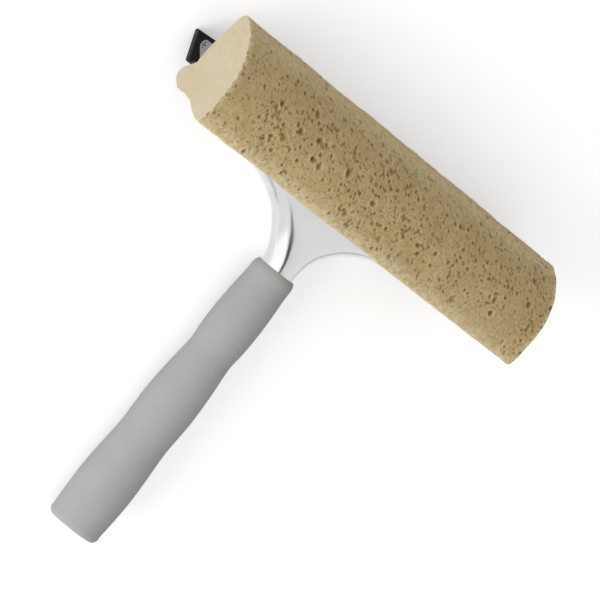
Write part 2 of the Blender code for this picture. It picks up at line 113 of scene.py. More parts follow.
# Sponge: mesh and sawn ends
SPONGE_STEP = 0.62 * MM
SPONGE_EDGE = 0.45 * MM
SPONGE_EDGE_STEPS = 3
CAP_STEP = 1.3 * MM
CAP_MARGIN = 0.7 * MM
CAP_SAW = 0.1 * MM
CAP_SAW_LENGTH = 4 * MM

# Sponge: length and height of the waves, ripples and grain of its skin, which fade out towards the
# rib's roots. A slice is the level at which a noise is cut.
WAVE = (28 * MM, 0.4 * MM)
RIPPLE = (5.5 * MM, 0.2 * MM)
GRAIN = (1.7 * MM, 0.09 * MM)
WAVE_SLICE = 0.5
ROOT_FADE = (1.0 * MM, 7.0 * MM)

# Sponge: pale skin towards the sawn ends, and two bands of painted light, with fewer pores, each
# with its place from the nearer root and its half width
END_PALE = (0.8 * MM, 4.0 * MM)
NEAR_BAND = (30 * MM, 6 * MM)
FAR_BAND = (36 * MM, 6 * MM)
FAR_BAND_SHARE = 0.6
PALE_SHARE = 0.9

# Pores: per square metre, least and greatest radius, depth as a share of the radius. Their shape is
# in shares of the radius: start and end of the hollow and of the shade, place and width of the lip.
# The shade is painted shade in each pore's hollow; the lip is raised, and it is also painted lighter
# as a painted highlight.
PORE_SEED = 11
PORES = (
    (5500, 1.2 * MM, 2.0 * MM, 0.95),
    (105000, 0.55 * MM, 1.25 * MM, 0.85),
    (130000, 0.35 * MM, 0.6 * MM, 0.75),
)
PORE_STRETCH = (1.0, 1.3)
PORE_TONE = (0.5, 1.0)
PORE_HOLLOW_SHARES = (0.2, 1.05)
PORE_SHADE_SHARES = (0.35, 1.15)
PORE_LIP_SHARES = (1.2, 0.22)
PORE_RIM_SHARE = 0.16
PORE_REACH_SHARE = 1.5
PORE_WARP = (2.6 * MM, 0.5 * MM)
PORE_WARP_SLICES = (1.5, 7.5)
PORE_PATCH = 22 * MM
PORE_PATCH_SLICE = 3.5
PORE_PATCH_SHARES = (0.6, 0.9)
PORE_END_FADE = (0.3 * MM, 1.6 * MM)
FAR_SIDE_END = (24 * MM, 52 * MM)
FAR_SIDE_SHARE = 0.35

# Sponge skin: lengths of its patterns
SKIN_WARP = (1.6 * MM, 0.3 * MM)
SKIN_PATCH = 20 * MM
SKIN_PORE_SPACING = 1.6 * MM
SKIN_PORE_EDGE = (0.2 * MM, 0.52 * MM)
SKIN_GRAIN = 0.7 * MM
SKIN_CRUMB = 2.2 * MM
SKIN_CLOUD = 17 * MM
SKIN_RELIEF = 0.8 * MM

# Sponge's cut faces: lengths of their patterns
CUT_WARP = (1.2 * MM, 0.8 * MM)
CUT_MARK_SPACING = 3.0 * MM
CUT_MARK_EDGE = (0.1 * MM, 0.8 * MM)
CUT_SAW = 2.6 * MM
CUT_CLOUD = 13 * MM
CUT_RELIEF = 0.3 * MM

# Grip foam and rubber: lengths of their patterns
FOAM_GRAIN = 0.5 * MM
FOAM_CLOUD = 18 * MM
FOAM_RELIEF = 0.08 * MM
RUBBER_BLOOM = 7 * MM
RUBBER_STREAK = 1.5 * MM
RUBBER_RIM = (1.6 * MM, 3.4 * MM)
RUBBER_GRAIN = 0.4 * MM
RUBBER_RELIEF = 0.03 * MM

# Metals and plastic: lengths of their patterns
CAST_CLOUD = 14 * MM
CAST_RIPPLE = 3 * MM
CAST_RELIEF = 0.02 * MM
DRAWN_LINE = 0.5 * MM
DRAWN_LINE_SHARE = 0.04
DRAWN_RELIEF = 0.02 * MM
ZINC_CLOUD = 1.5 * MM
PLASTIC_GRAIN = 0.35 * MM
PLASTIC_RELIEF = 0.04 * MM


def srgb(*levels):
    """Linear colour of an sRGB colour given in 0 to 255."""
    linear = []
    for level in levels:
        share = level / 255
        linear.append(share / 12.92 if share < 0.04045 else ((share + 0.055) / 1.055) ** 2.4)
    return (*linear, 1.0)


# Colours
SKIN_TAN = srgb(192, 169, 123)
SKIN_TAN_DEEP = srgb(183, 157, 110)
SKIN_PALE_AND_PAINTED_LIGHT = srgb(211, 195, 157)
SKIN_SHADED = srgb(163, 138, 92)
SKIN_GRAIN_AND_HIGHLIGHT = srgb(218, 199, 157)
SKIN_HOLLOW_SHADE = srgb(124, 92, 38)
SKIN_SHEEN = srgb(238, 226, 200)
CUT_PALE = srgb(198, 185, 160)
CUT_PALE_DEEP = srgb(193, 179, 152)
CUT_CLOUDED = srgb(189, 176, 141)
CUT_MARKED = srgb(168, 150, 112)
FOAM_GREY = srgb(156, 156, 156)
FOAM_GREY_CLOUDED = srgb(161, 161, 160)
FOAM_GREY_LIGHT = srgb(165, 165, 165)
RUBBER_BLACK = srgb(26, 26, 27)
RUBBER_BLOOMED = srgb(38, 38, 39)
RUBBER_CUT = srgb(5, 5, 6)
RUBBER_RIM_HIGHLIGHT = srgb(44, 44, 45)
RUBBER_RIM_HIGHLIGHT_BRIGHT = srgb(68, 68, 69)
CAST_METAL = srgb(216, 216, 217)
CAST_METAL_LIGHT = srgb(223, 223, 224)
DRAWN_METAL = srgb(208, 208, 210)
DRAWN_METAL_LIGHT = srgb(221, 221, 223)
METAL_ENDS_DARKER = srgb(139, 138, 139)
ZINC = srgb(146, 147, 150)
ZINC_LIGHT = srgb(166, 166, 166)
PLASTIC_GREY = srgb(84, 84, 86)
PLASTIC_GREY_LIGHT = srgb(94, 94, 96)


class Nodes:
    """Short calls for building a node tree."""

    def __init__(self, tree):
        self.tree = tree

    def add(self, kind):
        """A new node."""
        return self.tree.nodes.new(kind)

    def set(self, socket, value):
        """Put a value or another node's output into a socket."""
        if hasattr(value, "is_output"):
            self.tree.links.new(value, socket)
        else:
            socket.default_value = value

    def math(self, operation, a, b):
        """The result of one calculation on two values."""
        node = self.add("ShaderNodeMath")
        node.operation = operation
        self.set(node.inputs[0], a)
        self.set(node.inputs[1], b)
        return node.outputs[0]

    def greatest(self, *values):
        """The greatest of some values."""
        result = values[0]
        for value in values[1:]:
            result = self.math("MAXIMUM", result, value)
        return result

    def product(self, *values):
        """All the values multiplied."""
        result = values[0]
        for value in values[1:]:
            result = self.math("MULTIPLY", result, value)
        return result

    def mix(self, share, a, b):
        """Colour a where the share is 0, turning to colour b where it is 1."""
        node = self.add("ShaderNodeMix")
        node.data_type = "RGBA"
        self.set(node.inputs["Factor"], share)
        self.set(node.inputs["A"], a)
        self.set(node.inputs["B"], b)
        return node.outputs["Result"]

    def ramp(self, value, low, high, out_low=0.0, out_high=1.0):
        """A smooth step of value from low to high."""
        node = self.add("ShaderNodeMapRange")
        node.interpolation_type = "SMOOTHSTEP"
        self.set(node.inputs["Value"], value)
        self.set(node.inputs["From Min"], low)
        self.set(node.inputs["From Max"], high)
        self.set(node.inputs["To Min"], out_low)
        self.set(node.inputs["To Max"], out_high)
        return node.outputs["Result"]

    def shown_rays(self):
        """1 for the rays that show the background: camera, glossy and transmission rays."""
        rays = self.add("ShaderNodeLightPath").outputs
        return self.greatest(rays["Is Camera Ray"], rays["Is Glossy Ray"], rays["Is Transmission Ray"])


class Shader(Nodes):
    """A material with one Principled shader and patterns in the object's own space."""

    def __init__(self, name, roughness, metallic=0.0):
        self.material = bpy.data.materials.new(name)
        self.material.use_nodes = True
        super().__init__(self.material.node_tree)
        self.principled = self.tree.nodes["Principled BSDF"]
        self.principled.inputs["Roughness"].default_value = roughness
        self.principled.inputs["Metallic"].default_value = metallic
        self.place = self.add("ShaderNodeTexCoord").outputs["Object"]

    def vector_math(self, operation, *values):
        """The outputs of one calculation on vectors."""
        node = self.add("ShaderNodeVectorMath")
        node.operation = operation
        for socket, value in zip(node.inputs, values):
            self.set(socket, value)
        return node.outputs

    def noise_node(self, length, detail, place, rough):
        """A noise texture whose patches have a given length."""
        node = self.add("ShaderNodeTexNoise")
        self.set(node.inputs["Vector"], place)
        node.inputs["Scale"].default_value = 1 / length
        node.inputs["Detail"].default_value = detail
        node.inputs["Roughness"].default_value = rough
        return node

    def noise(self, length, detail=2.0, place=None, rough=0.5):
        """A smooth noise from about 0 to 1."""
        return self.noise_node(length, detail, place or self.place, rough).outputs["Fac"]

    def warped(self, length, amount):
        """The object's place, pushed about by a noise."""
        push = self.noise_node(length, 2.0, self.place, 0.5).outputs["Color"]
        return self.vector_math("MULTIPLY_ADD", push, (2 * amount,) * 3, self.place)["Vector"]

    def cells(self, length, place):
        """Distance from the nearest of a scatter of points, in metres, and a tone for each point."""
        node = self.add("ShaderNodeTexVoronoi")
        self.set(node.inputs["Vector"], place)
        node.inputs["Scale"].default_value = 1 / length
        tone = self.add("ShaderNodeSeparateColor")
        self.set(tone.inputs["Color"], node.outputs["Color"])
        return self.math("MULTIPLY", node.outputs["Distance"], length), tone.outputs["Red"]

    def stretched(self, scale):
        """The object's place, scaled along each axis."""
        return self.vector_math("MULTIPLY", self.place, scale)["Vector"]

    def along(self, direction):
        """The object's place measured along a direction."""
        return self.vector_math("DOT_PRODUCT", self.place, direction)["Value"]

    def attribute(self, name):
        """A value kept on the mesh's points."""
        node = self.add("ShaderNodeAttribute")
        node.attribute_name = name
        return node.outputs["Fac"]

    def facing(self, axis):
        """How far the surface faces along an axis of the object, either way."""
        node = self.add("ShaderNodeTexCoord")
        parts = self.add("ShaderNodeSeparateXYZ")
        self.set(parts.inputs["Vector"], node.outputs["Normal"])
        return self.math("ABSOLUTE", parts.outputs[axis], 0.0)

    def colour(self, value):
        self.set(self.principled.inputs["Base Color"], value)

    def roughness(self, value):
        self.set(self.principled.inputs["Roughness"], value)

    def specular(self, level):
        self.principled.inputs["Specular IOR Level"].default_value = level

    def sheen(self, weight, roughness, tint):
        self.principled.inputs["Sheen Weight"].default_value = weight
        self.principled.inputs["Sheen Roughness"].default_value = roughness
        self.principled.inputs["Sheen Tint"].default_value = tint

    def bump(self, height, depth, strength):
        """Relief of a given depth."""
        node = self.add("ShaderNodeBump")
        self.set(node.inputs["Height"], height)
        node.inputs["Distance"].default_value = depth
        node.inputs["Strength"].default_value = strength
        self.set(self.principled.inputs["Normal"], node.outputs["Normal"])


def sponge_skin():
    """Moulded outside of the sponge: tan foam, open pores and a fine crumbly grain."""
    s = Shader("sponge_skin", 0.95)
    s.specular(0.15)
    s.sheen(0.35, 0.4, SKIN_SHEEN)
    patch = s.ramp(s.noise(SKIN_PATCH, 1.0), 0.36, 0.6, 0.4, 1.0)
    distance, tone = s.cells(SKIN_PORE_SPACING, s.warped(*SKIN_WARP))
    small = s.ramp(distance, *SKIN_PORE_EDGE, 1.0, 0.0)
    small = s.product(small, s.ramp(tone, 0.3, 0.7), patch)
    pore = s.greatest(s.attribute("pore"), s.product(small, 0.6))
    grain = s.noise(SKIN_GRAIN, 3.0, rough=0.65)
    crumb = s.noise(SKIN_CRUMB, 3.0)
    cloud = s.noise(SKIN_CLOUD)
    body = s.mix(s.ramp(cloud, 0.35, 0.65), SKIN_TAN, SKIN_TAN_DEEP)
    # Paler towards the sawn ends, which is the skin's own colour, and in the near and far bands, which
    # is painted light.
    body = s.mix(s.attribute("pale"), body, SKIN_PALE_AND_PAINTED_LIGHT)
    body = s.mix(s.ramp(crumb, 0.35, 0.7, 0.0, 0.6), body, SKIN_SHADED)
    # Lighter in the fine grain, which is the foam's own tone, and on the pores' lips, which is a
    # painted highlight.
    light = s.greatest(s.ramp(grain, 0.5, 0.75, 0.0, 0.8), s.product(s.attribute("rim"), 0.5))
    body = s.mix(light, body, SKIN_GRAIN_AND_HIGHLIGHT)
    # The pores' dark colour, from the mesh's pores and the small shader pores, is painted shade in
    # their hollows.
    s.colour(s.mix(s.product(pore, 0.85), body, SKIN_HOLLOW_SHADE))
    height = s.math("SUBTRACT", s.product(grain, 0.3), s.product(small, 0.8))
    s.bump(height, SKIN_RELIEF, 0.75)
    return s.material


def sponge_cut():
    """Sawn end of the sponge: pale and close-grained, with faint shallow marks."""
    s = Shader("sponge_cut", 0.95)
    s.specular(0.15)
    distance, tone = s.cells(CUT_MARK_SPACING, s.warped(*CUT_WARP))
    marks = s.product(s.ramp(distance, *CUT_MARK_EDGE, 1.0, 0.0), s.ramp(tone, 0.45, 0.95))
    saw = s.noise(CUT_SAW, 3.0)
    cloud = s.noise(CUT_CLOUD)
    body = s.mix(s.ramp(saw, 0.3, 0.7), CUT_PALE, CUT_PALE_DEEP)
    body = s.mix(s.ramp(cloud, 0.45, 0.7, 0.0, 0.5), body, CUT_CLOUDED)
    s.colour(s.mix(s.product(marks, 0.5), body, CUT_MARKED))
    height = s.math("SUBTRACT", s.product(saw, 0.3), marks)
    s.bump(height, CUT_RELIEF, 0.6)
    return s.material


def grip_foam():
    """Grey closed-cell foam with a very fine grain."""
    s = Shader("grip_foam", 0.85)
    s.specular(0.25)
    grain = s.noise(FOAM_GRAIN, 3.0)
    cloud = s.noise(FOAM_CLOUD)
    body = s.mix(s.ramp(cloud, 0.35, 0.65), FOAM_GREY, FOAM_GREY_CLOUDED)
    s.colour(s.mix(s.ramp(grain, 0.35, 0.65), body, FOAM_GREY_LIGHT))
    s.roughness(s.ramp(grain, 0.3, 0.7, 0.8, 0.92))
    s.bump(grain, FOAM_RELIEF, 0.5)
    return s.material


def black_rubber():
    """Moulded rubber with a faint bloom. Its cut ends are darker, but for a painted highlight along
    their lower rim.
    """
    s = Shader("blade_rubber", 0.45)
    s.specular(0.07)
    bloom = s.noise(RUBBER_BLOOM, 4.0)
    moulded = s.mix(s.ramp(bloom, 0.4, 0.7), RUBBER_BLACK, RUBBER_BLOOMED)
    inward, wall = lower_wall("rubber_blade")
    from_wall = s.math("SUBTRACT", s.along(inward), wall)
    # Near the lower wall the cut end is painted lighter in streaks: a painted highlight along its
    # lower rim.
    rim_highlight = s.mix(s.ramp(s.noise(RUBBER_STREAK), 0.35, 0.65), RUBBER_RIM_HIGHLIGHT, RUBBER_RIM_HIGHLIGHT_BRIGHT)
    cut = s.mix(s.ramp(from_wall, *RUBBER_RIM), rim_highlight, RUBBER_CUT)
    s.colour(s.mix(s.ramp(s.facing(0), 0.75, 0.97), moulded, cut))
    s.roughness(s.ramp(bloom, 0.3, 0.7, 0.36, 0.52))
    s.bump(s.noise(RUBBER_GRAIN), RUBBER_RELIEF, 0.5)
    return s.material


def polished_metal():
    """Die-cast light metal, polished, with soft cloudy wear."""
    s = Shader("polished_metal", 0.16, 1.0)
    cloud = s.noise(CAST_CLOUD, 3.0)
    s.colour(s.mix(s.ramp(cloud, 0.3, 0.7), CAST_METAL, CAST_METAL_LIGHT))
    s.roughness(s.ramp(cloud, 0.3, 0.7, 0.15, 0.24))
    s.bump(s.noise(CAST_RIPPLE), CAST_RELIEF, 0.4)
    return s.material


def drawn_metal(name, axis):
    """Extruded or drawn metal: fine lines along an axis, and darker and rougher on its faces across
    it.
    """
    s = Shader(name, 0.32, 1.0)
    stretch = [1.0, 1.0, 1.0]
    stretch[axis] = DRAWN_LINE_SHARE
    lines = s.noise(DRAWN_LINE, 3.0, s.stretched(stretch))
    end = s.ramp(s.facing(axis), 0.85, 0.95)
    body = s.mix(s.ramp(lines, 0.3, 0.7), DRAWN_METAL, DRAWN_METAL_LIGHT)
    s.colour(s.mix(end, body, METAL_ENDS_DARKER))
    s.roughness(s.greatest(s.ramp(lines, 0.3, 0.7, 0.24, 0.38), s.product(end, 0.5)))
    s.bump(lines, DRAWN_RELIEF, 0.5)
    return s.material


def plated_steel():
    """Bright zinc on small screws and pins."""
    s = Shader("plated_steel", 0.4, 1.0)
    cloud = s.noise(ZINC_CLOUD, 3.0)
    s.colour(s.mix(s.ramp(cloud, 0.3, 0.7), ZINC, ZINC_LIGHT))
    s.roughness(s.ramp(cloud, 0.3, 0.7, 0.35, 0.5))
    return s.material


def moulded_plastic():
    """Dark moulded plastic with a fine spark-eroded grain."""
    s = Shader("moulded_plastic", 0.5)
    grain = s.noise(PLASTIC_GRAIN)
    s.colour(s.mix(s.ramp(grain, 0.3, 0.7), PLASTIC_GREY, PLASTIC_GREY_LIGHT))
    s.roughness(s.ramp(grain, 0.3, 0.7, 0.45, 0.6))
    s.bump(grain, PLASTIC_RELIEF, 0.5)
    return s.material


def body_of(node):
    """The CAD body that a node belongs to."""
    for body, members in frame["record"]["behaviour"]["bodies"].items():
        if node in members:
            return body
    raise ValueError(node)


def welded(node):
    """A bmesh of a CAD node with its split corners joined."""
    bm = bmesh.new()
    bm.from_mesh(frame["nodes"][node].data)
    bmesh.ops.remove_doubles(bm, verts=bm.verts, dist=WELD)
    bmesh.ops.recalc_face_normals(bm, faces=bm.faces)
    return bm


def smooth_mesh(name, bm):
    """Turn a bmesh into a smooth-shaded mesh."""
    mesh = bpy.data.meshes.new(name)
    bm.to_mesh(mesh)
    bm.free()
    mesh.shade_smooth()
    return mesh


def stand_for(name, mesh, node, materials):
    """Make a piece that stands for a CAD node and rides on its body."""
    for material in materials:
        mesh.materials.append(material)
    obj = bpy.data.objects.new(name, mesh)
    bpy.context.scene.collection.objects.link(obj)
    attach(obj, body_of(node))
    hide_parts(node)
    return obj


def refined(name, node, material, edge=None):
    """A CAD node's own shape with merged flat faces, smooth shading and slightly rounded edges."""
    bm = welded(node)
    bmesh.ops.dissolve_limit(bm, angle_limit=FLAT_ANGLE, verts=bm.verts, edges=bm.edges)
    mesh = smooth_mesh(name, bm)
    mesh.set_sharp_from_angle(angle=SMOOTH_ANGLE)
    obj = stand_for(name, mesh, node, [material])
    if edge:
        step = obj.modifiers.new("edge_round", "BEVEL")
        step.width = edge
        step.segments = EDGE_SEGMENTS
        step.limit_method = "ANGLE"
        step.angle_limit = SMOOTH_ANGLE
        step.harden_normals = True


def run_length(points):
    """Length of an open line of points."""
    return sum(math.dist(a, b) for a, b in zip(points, points[1:]))


def smooth_line(points, steps):
    """Evenly spaced points on a smooth curve through a row of points."""
    p = np.array(points)
    t = np.concatenate(([0.0], np.cumsum(np.linalg.norm(np.diff(p, axis=0), axis=1))))
    slope = np.gradient(p, t, axis=0)
    u = np.linspace(0.0, t[-1], CURVE_STEPS * len(p))
    k = np.clip(np.searchsorted(t, u, "right") - 1, 0, len(p) - 2)
    width = (t[k + 1] - t[k])[:, None]
    s = (u - t[k])[:, None] / width
    dense = (
        p[k] * (1 + 2 * s) * (1 - s) ** 2
        + slope[k] * width * s * (1 - s) ** 2
        + p[k + 1] * s ** 2 * (3 - 2 * s)
        + slope[k + 1] * width * s ** 2 * (s - 1)
    )
    run = np.concatenate(([0.0], np.cumsum(np.linalg.norm(np.diff(dense, axis=0), axis=1))))
    even = np.linspace(0.0, run[-1], steps + 1)
    return np.stack([np.interp(even, run, dense[:, i]) for i in range(p.shape[1])], axis=1)


def cornered_line(points, steps):
    """As smooth_line, but the line keeps its sharp corners."""
    cuts = [0]
    for k in range(1, len(points) - 1):
        before = Vector(points[k]) - Vector(points[k - 1])
        after = Vector(points[k + 1]) - Vector(points[k])
        if before.angle(after) > CORNER_ANGLE:
            cuts.append(k)
    cuts.append(len(points) - 1)
    runs = [points[a:b + 1] for a, b in zip(cuts, cuts[1:])]
    lengths = [run_length(run) for run in runs]
    counts = [max(1, int(steps * length / sum(lengths))) for length in lengths]
    while sum(counts) < steps:
        longest = max(range(len(runs)), key=lambda i: lengths[i] / counts[i])
        counts[longest] += 1
    lines = [smooth_line(run, count) for run, count in zip(runs, counts)]
    return np.concatenate([lines[0]] + [line[1:] for line in lines[1:]])


def end_outline(bm, side):
    """The closed line of (y, z) points round a prism's flat end, anticlockwise seen from +X."""
    limit = max(side * v.co.x for v in bm.verts)
    cap = [f for f in bm.faces if all(side * v.co.x > limit - WELD for v in f.verts)]
    inside = set(cap)
    edges = [e for f in cap for e in f.edges if sum(g in inside for g in e.link_faces) == 1]
    after = {}
    for edge in edges:
        face = next(f for f in edge.link_faces if f in inside)
        loop = next(lo for lo in face.loops if lo.edge == edge)
        after[loop.vert] = loop.link_loop_next.vert
    start = min(after, key=lambda v: (v.co.z, v.co.y))
    line = [start]
    while after[line[-1]] != start:
        line.append(after[line[-1]])
    points = [(v.co.y, v.co.z) for v in line]
    return points if side > 0 else points[::-1]


def lower_wall(node):
    """The inward direction of a prism's broadest lower wall, and the wall's place along it."""
    bm = welded(node)
    line = end_outline(bm, 1)
    bm.free()
    a, b = max(zip(line, line[1:] + line[:1]), key=lambda pair: pair[1][0] - pair[0][0])
    length = math.dist(a, b)
    inward = (0.0, (a[1] - b[1]) / length, (b[0] - a[0]) / length)
    return inward, inward[1] * a[0] + inward[2] * a[1]


def split_outline(line, other):
    """The run of a closed line that it shares with another, and the run that it has to itself."""
    count = len(line)
    shared = [i for i, p in enumerate(line) if any(math.dist(p, q) < WELD for q in other)]
    width, last = max(((b - a) % count, a) for a, b in zip(shared, shared[1:] + shared[:1]))
    turned = [line[(last + i) % count] for i in range(count)]
    return turned[width:] + turned[:1], turned[:width + 1]


def outward(points):
    """Outward unit normals of a closed line of points that runs anticlockwise."""
    tangent = np.roll(points, -1, axis=0) - np.roll(points, 1, axis=0)
    normal = np.stack((tangent[:, 1], -tangent[:, 0]), axis=1)
    return normal / np.linalg.norm(normal, axis=1)[:, None]


def smooth_step(value, low, high):
    """0 below low, 1 above high, and a smooth rise between them."""
    share = np.clip((value - low) / (high - low), 0.0, 1.0)
    return share * share * (3 - 2 * share)


def noise_grid(x, s, length, level):
    """A slice, at a given level, through a smooth noise, over a grid of places along x and s."""
    rows = []
    for a in x / length:
        rows.append([noise.noise(Vector((a, b, level))) for b in s / length])
    return np.array(rows)


def painted_light_bands(s, run):
    """How strongly the painted light of the near and far bands lies on the sponge's skin at place s of
    its whole run.
    """
    near_place, near_width = NEAR_BAND
    far_place, far_width = FAR_BAND
    near = np.exp(-((run - s - near_place) / near_width) ** 2)
    far = np.exp(-((s - far_place) / far_width) ** 2)
    return near, FAR_BAND_SHARE * far


def pore_chance(cx, cs, run):
    """How likely the skin has pores at a place: in patches, fewer on its far side and in its bands."""
    patch = noise.noise(Vector((cx / PORE_PATCH, cs / PORE_PATCH, PORE_PATCH_SLICE)))
    plain, change = PORE_PATCH_SHARES
    near, far = painted_light_bands(cs, run)
    side = FAR_SIDE_SHARE + (1 - FAR_SIDE_SHARE) * smooth_step(cs, *FAR_SIDE_END)
    return (1 - near) * (1 - far) * side * (plain + change * patch)


def pore_grid(x, s):
    """Height, painted shade in the hollows and painted highlights on the lips of the open pores over a
    grid of places along x and s.
    """
    rng = np.random.default_rng(PORE_SEED)
    length, push = PORE_WARP
    warp_x, warp_s = (push * noise_grid(x, s, length, level) for level in PORE_WARP_SLICES)
    wx = x[:, None] + warp_x
    ws = s[None, :] + warp_s
    lip_place, lip_width = PORE_LIP_SHARES
    depth, height, dark, rim = (np.zeros_like(wx) for _ in range(4))
    area = (x[-1] - x[0]) * (s[-1] - s[0])
    for per_area, least, greatest, depth_share in PORES:
        for _ in range(round(per_area * area)):
            cx = rng.uniform(x[0], x[-1])
            cs = rng.uniform(s[0], s[-1])
            radius = rng.uniform(least, greatest)
            turn = rng.uniform(0.0, math.pi)
            stretch = rng.uniform(*PORE_STRETCH)
            tone = rng.uniform(*PORE_TONE)
            if rng.uniform(0.0, 1.0) > pore_chance(cx, cs, s[-1]):
                continue
            reach = PORE_REACH_SHARE * radius * stretch + push
            rows = slice(*np.searchsorted(x, (cx - reach, cx + reach)))
            columns = slice(*np.searchsorted(s, (cs - reach, cs + reach)))
            dx = wx[rows, columns] - cx
            ds = ws[rows, columns] - cs
            along = (dx * math.cos(turn) + ds * math.sin(turn)) / stretch
            across = ds * math.cos(turn) - dx * math.sin(turn)
            share = np.hypot(along, across) / radius
            hollow = radius * depth_share * tone * (1 - smooth_step(share, *PORE_HOLLOW_SHARES))
            # The shade darkens the pore's colour: painted shade in its hollow.
            shade = tone * (1 - smooth_step(share, *PORE_SHADE_SHARES))
            # The lip raises the skin, and its rim grid is also painted lighter: a painted highlight.
            lip = tone * np.exp(-((share - lip_place) / lip_width) ** 2)
            stamps = (
                (depth, hollow), (dark, shade), (rim, lip), (height, lip * radius * PORE_RIM_SHARE),
            )
            for grid, stamp in stamps:
                grid[rows, columns] = np.maximum(grid[rows, columns], stamp)
    rim *= 1 - dark
    return height * (1 - dark) - depth, dark, rim


def skin_grids(x, skin, half):
    """Height of the sponge's skin over a grid of places, and the grids of its painted pore shade,
    painted lip highlights and paleness.
    """
    s = np.concatenate(([0.0], np.cumsum(np.linalg.norm(np.diff(skin, axis=0), axis=1))))
    relief, dark, rim = pore_grid(x, s)
    from_end = half - np.abs(x)[:, None]
    push = relief * smooth_step(from_end, *PORE_END_FADE)
    near, far = painted_light_bands(s, s[-1])
    # Pale towards the sawn ends is the skin's own colour; the paleness of the near and far bands is
    # painted light.
    pale = np.maximum(1 - smooth_step(from_end, *END_PALE), PALE_SHARE * (near + far)[None, :])
    for k, (length, height) in enumerate((WAVE, RIPPLE, GRAIN)):
        push += height * noise_grid(x, s, length, k + WAVE_SLICE)
    push *= smooth_step(s, *ROOT_FADE) * smooth_step(s[-1] - s, *ROOT_FADE)
    return push, {"pore": dark, "rim": rim, "pale": pale}


def sawn_face(bm, ring, side):
    """Close a ring of vertices with a slightly uneven face."""
    outline = [Vector((v.co.y, v.co.z)) for v in ring]
    count = len(outline)
    low = [min(p[i] for p in outline) for i in (0, 1)]
    high = [max(p[i] for p in outline) for i in (0, 1)]
    inner = []
    for row in range(int((high[1] - low[1]) / CAP_STEP)):
        shift = (row % 2) / 2
        for column in range(int((high[0] - low[0]) / CAP_STEP)):
            place = Vector((low[0] + (column + shift) * CAP_STEP, low[1] + (row + 0.5) * CAP_STEP))
            if min((place - p).length for p in outline) > CAP_MARGIN:
                inner.append(place)
    edges = [(i, (i + 1) % count) for i in range(count)]
    places, _, faces, sources = geometry.delaunay_2d_cdt(outline + inner, edges, [], 1, WELD / 4)[:4]
    flat = ring[0].co.x
    made = {}
    for face in faces:
        corners = []
        for k in face:
            source = min(sources[k])
            if source < count:
                made[k] = ring[source]
            elif k not in made:
                y, z = places[k]
                height = noise.noise(Vector((flat, y, z)) / CAP_SAW_LENGTH) - 1
                made[k] = bm.verts.new((flat + side * CAP_SAW * height, y, z))
            corners.append(made[k])
        bm.faces.new(corners if side > 0 else corners[::-1]).material_index = 1


def sponge_outlines():
    """The sponge's two outlines with even points, and the places where they end along X."""
    source = welded("sponge")
    right = end_outline(source, 1)
    left = end_outline(source, -1)
    half = max(v.co.x for v in source.verts)
    bulge_face = max(v.co.x for v in source.verts if WELD - half < v.co.x < 0)
    source.free()
    shared, rib = split_outline(right, left)
    bulge = split_outline(left, right)[1]
    skin = cornered_line(shared, round(run_length(shared) / SPONGE_STEP))
    root_steps = round(run_length(bulge) / SPONGE_STEP)
    plain = np.concatenate((skin, cornered_line(rib, root_steps)[1:-1]))
    swollen = np.concatenate((skin, cornered_line(bulge, root_steps)[1:-1]))
    return plain, swollen, len(skin), half, bulge_face


def sponge_stations(plain, swollen, half, bulge_face):
    """For each ring of the sponge: its place along X, how far it sinks in, and its outline."""
    turns = [math.pi / 2 * k / SPONGE_EDGE_STEPS for k in range(SPONGE_EDGE_STEPS)]
    edge = [(SPONGE_EDGE * (1 - math.cos(a)), SPONGE_EDGE * (1 - math.sin(a))) for a in turns]
    inner = half - SPONGE_EDGE
    bulge_rows = math.ceil((inner + bulge_face) / SPONGE_STEP)
    rows = math.ceil((inner - bulge_face) / SPONGE_STEP)
    wall = SPONGE_STEP / 4
    stations = [(out - half, sink, swollen) for out, sink in edge]
    stations += [(x, 0.0, swollen) for x in np.linspace(-inner, bulge_face - wall, bulge_rows)]
    stations += [(x, 0.0, plain) for x in np.linspace(bulge_face, inner, rows)]
    stations += [(half - out, sink, plain) for out, sink in reversed(edge)]
    return stations


def sponge_mesh():
    """The sponge: skin with waves and open pores, sawn ends and the bulge at its left end."""
    plain, swollen, skin_count, half, bulge_face = sponge_outlines()
    stations = sponge_stations(plain, swollen, half, bulge_face)
    x = np.array([station[0] for station in stations])
    push, grids = skin_grids(x, plain[:skin_count], half)
    bm = bmesh.new()
    marks = [(bm.verts.layers.float.new(name), grid) for name, grid in grids.items()]
    rings = []
    for row, (place, sink, outline) in enumerate(stations):
        out = np.full(len(outline), -sink)
        out[:skin_count] += push[row]
        points = outline + out[:, None] * outward(outline)
        ring = [bm.verts.new((place, y, z)) for y, z in points]
        for layer, grid in marks:
            for vert, value in zip(ring, grid[row]):
                vert[layer] = value
        rings.append(ring)
    for low, high in zip(rings, rings[1:]):
        for j in range(len(low)):
            k = (j + 1) % len(low)
            face = bm.faces.new((low[j], low[k], high[k], high[j]))
            face.material_index = 0 if j < skin_count - 1 else 1
    sawn_face(bm, rings[0], -1)
    sawn_face(bm, rings[-1], 1)
    return smooth_mesh("sponge_form", bm)


